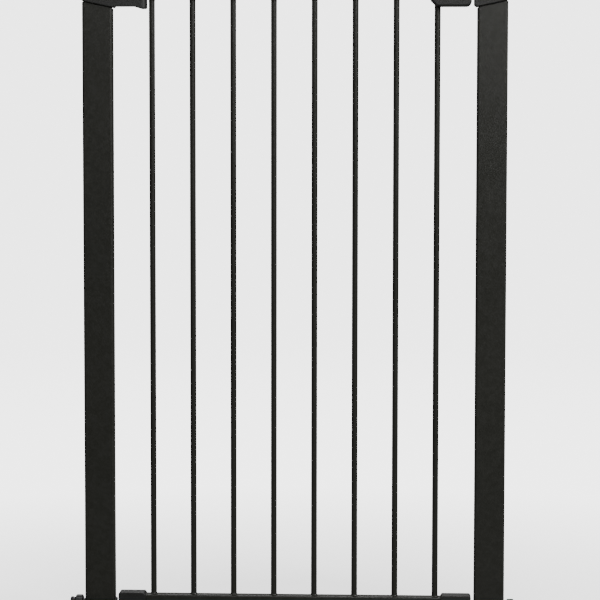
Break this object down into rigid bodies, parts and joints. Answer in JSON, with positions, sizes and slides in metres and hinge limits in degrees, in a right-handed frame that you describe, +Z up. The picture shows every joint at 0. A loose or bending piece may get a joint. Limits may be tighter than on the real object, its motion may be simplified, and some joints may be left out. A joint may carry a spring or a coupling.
{
  "type": "safety baby gate",
  "caption": "Tall narrow pressure-fit safety gate with a U frame, a round-bar door that lifts and swings, a spring lock and padded spindles.",
  "frame": {"origin": "on the floor, in the middle of the gate between the two walls and between its front and rear faces", "axes": "+X along the doorway to the latch side, -Y to the front, +Z up"},
  "size_m": [0.744, 0.04, 1.054],
  "materials": {
    "black_powder_coat": "satin black powder coat",
    "black_plastic": "fine-grained black moulding",
    "grey_plastic": "dark grey moulding",
    "black_rubber": "matt black rubber",
    "zinc_steel": "bright zinc plate",
    "nylon": "natural nylon"
  },
  "bodies": {
    "frame": {"left_upright": "black_powder_coat", "right_upright": "black_powder_coat", "threshold_rail": "black_powder_coat", "left_foot": "black_plastic", "right_foot": "black_plastic", "threshold_pads": "black_rubber", "left_top_cap": "black_plastic", "right_top_cap": "black_plastic", "lower_hinge_pin": "zinc_steel", "foot_screws": "zinc_steel", "cap_screws": "zinc_steel", "spindle_bush_upper_left": "black_plastic", "spindle_bush_upper_right": "black_plastic", "spindle_bush_lower_left": "black_plastic", "spindle_bush_lower_right": "black_plastic"},
    "pivot": {"upper_pivot_sleeve": "nylon", "lower_pivot_sleeve": "nylon"},
    "lock": {"thumb_slide": "grey_plastic", "lock_bolt": "zinc_steel", "lock_spring": "zinc_steel"},
    "spindle_upper_left": {"spindle_upper_left": "zinc_steel", "pad_plate_upper_left": "black_plastic", "wall_pad_upper_left": "black_rubber"},
    "wheel_upper_left": {"hand_wheel_upper_left": "black_plastic"},
    "spindle_upper_right": {"spindle_upper_right": "zinc_steel", "pad_plate_upper_right": "black_plastic", "wall_pad_upper_right": "black_rubber"},
    "wheel_upper_right": {"hand_wheel_upper_right": "black_plastic"},
    "spindle_lower_left": {"spindle_lower_left": "zinc_steel", "pad_plate_lower_left": "black_plastic", "wall_pad_lower_left": "black_rubber"},
    "wheel_lower_left": {"hand_wheel_lower_left": "black_plastic"},
    "spindle_lower_right": {"spindle_lower_right": "zinc_steel", "pad_plate_lower_right": "black_plastic", "wall_pad_lower_right": "black_rubber"},
    "wheel_lower_right": {"hand_wheel_lower_right": "black_plastic"},
    "door": {"top_rail": "black_powder_coat", "bottom_rail": "black_powder_coat", "bar_1": "black_powder_coat", "bar_2": "black_powder_coat", "bar_3": "black_powder_coat", "bar_4": "black_powder_coat", "bar_5": "black_powder_coat", "bar_6": "black_powder_coat", "bar_7": "black_powder_coat", "bar_8": "black_powder_coat", "upper_hinge_block": "black_plastic", "upper_hinge_pin": "zinc_steel", "hinge_block_screw": "zinc_steel", "lower_hinge_cap": "black_plastic", "lower_latch_cap": "black_plastic", "end_cap_screws": "zinc_steel", "handle_front_shell": "black_plastic", "handle_rear_shell": "black_plastic", "handle_screws": "zinc_steel"}
  },
  "joints": [
    {"name": "door_swing", "type": "hinge", "parent": "frame", "child": "pivot", "pos_m": [-0.27, 0, 0.5], "axis": [0, 0, 1], "range_deg": [-90, 90]},
    {"name": "door_lift", "type": "slide", "parent": "pivot", "child": "door", "axis": [0, 0, 1], "range_m": [0, 0.012]},
    {"name": "lock_slide", "type": "slide", "parent": "door", "child": "lock", "axis": [-1, 0, 0], "range_m": [0, 0.012], "stiffness_N_per_m": 250, "springref_m": -0.006, "deforming": ["lock_spring"]},
    {"name": "spindle_upper_left_slide", "type": "slide", "parent": "frame", "child": "spindle_upper_left", "axis": [-1, 0, 0], "range_m": [0, 0.03]},
    {"name": "wheel_upper_left_turn", "type": "hinge", "parent": "frame", "child": "wheel_upper_left", "pos_m": [-0.357, 0, 1.036], "axis": [-1, 0, 0], "range_deg": [-3600, 0]},
    {"name": "spindle_upper_right_slide", "type": "slide", "parent": "frame", "child": "spindle_upper_right", "axis": [1, 0, 0], "range_m": [0, 0.03]},
    {"name": "wheel_upper_right_turn", "type": "hinge", "parent": "frame", "child": "wheel_upper_right", "pos_m": [0.357, 0, 1.036], "axis": [1, 0, 0], "range_deg": [-3600, 0]},
    {"name": "spindle_lower_left_slide", "type": "slide", "parent": "frame", "child": "spindle_lower_left", "axis": [-1, 0, 0], "range_m": [0, 0.03]},
    {"name": "wheel_lower_left_turn", "type": "hinge", "parent": "frame", "child": "wheel_lower_left", "pos_m": [-0.357, 0, 0.018], "axis": [-1, 0, 0], "range_deg": [-3600, 0]},
    {"name": "spindle_lower_right_slide", "type": "slide", "parent": "frame", "child": "spindle_lower_right", "axis": [1, 0, 0], "range_m": [0, 0.03]},
    {"name": "wheel_lower_right_turn", "type": "hinge", "parent": "frame", "child": "wheel_lower_right", "pos_m": [0.357, 0, 0.018], "axis": [1, 0, 0], "range_deg": [-3600, 0]}
  ],
  "couplings": [
    {"joint": "wheel_upper_left_turn", "follows": "spindle_upper_left_slide", "rad_per_m": -2094.4},
    {"joint": "wheel_upper_right_turn", "follows": "spindle_upper_right_slide", "rad_per_m": -2094.4},
    {"joint": "wheel_lower_left_turn", "follows": "spindle_lower_left_slide", "rad_per_m": -2094.4},
    {"joint": "wheel_lower_right_turn", "follows": "spindle_lower_right_slide", "rad_per_m": -2094.4}
  ]
}
